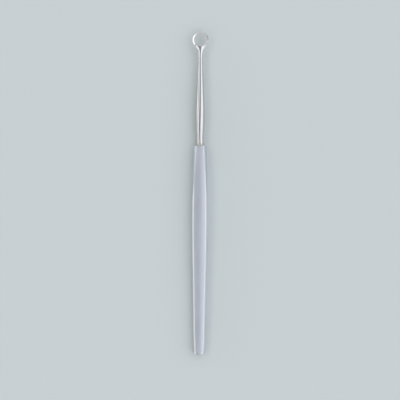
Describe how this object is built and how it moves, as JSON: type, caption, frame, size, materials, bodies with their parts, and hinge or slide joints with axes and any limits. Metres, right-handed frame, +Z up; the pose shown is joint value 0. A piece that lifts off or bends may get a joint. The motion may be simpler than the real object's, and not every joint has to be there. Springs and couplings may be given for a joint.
{
  "type": "dermal curette",
  "caption": "Slender steel hand tool for the skin: a round ring with a bevelled cutting edge on a polished, swelling neck, brazed into a flat satin handle with chamfered edges.",
  "frame": {"origin": "centre of the tool's footprint, on the plane that the handle's flat underside lies on", "axes": "+Y along the tool towards the ring, +Z up, on the side of the ring's bevel and cutting edge, +X to the right; the tool is mirror-symmetric about X = 0"},
  "size_m": [0.0074, 0.146, 0.0052],
  "materials": {
    "satin_handle": "satin, fine grain along the handle",
    "polished_shank": "mirror-polished stainless steel",
    "polished_ring": "mirror-polished stainless steel, ground bevel",
    "shank_joint_braze": "polished silver braze",
    "ring_joint_braze": "polished silver braze"
  },
  "bodies": {
    "root": {"handle": "satin_handle", "shank": "polished_shank", "cutting_ring": "polished_ring", "shank_braze": "shank_joint_braze", "ring_braze": "ring_joint_braze"}
  },
  "joints": []
}
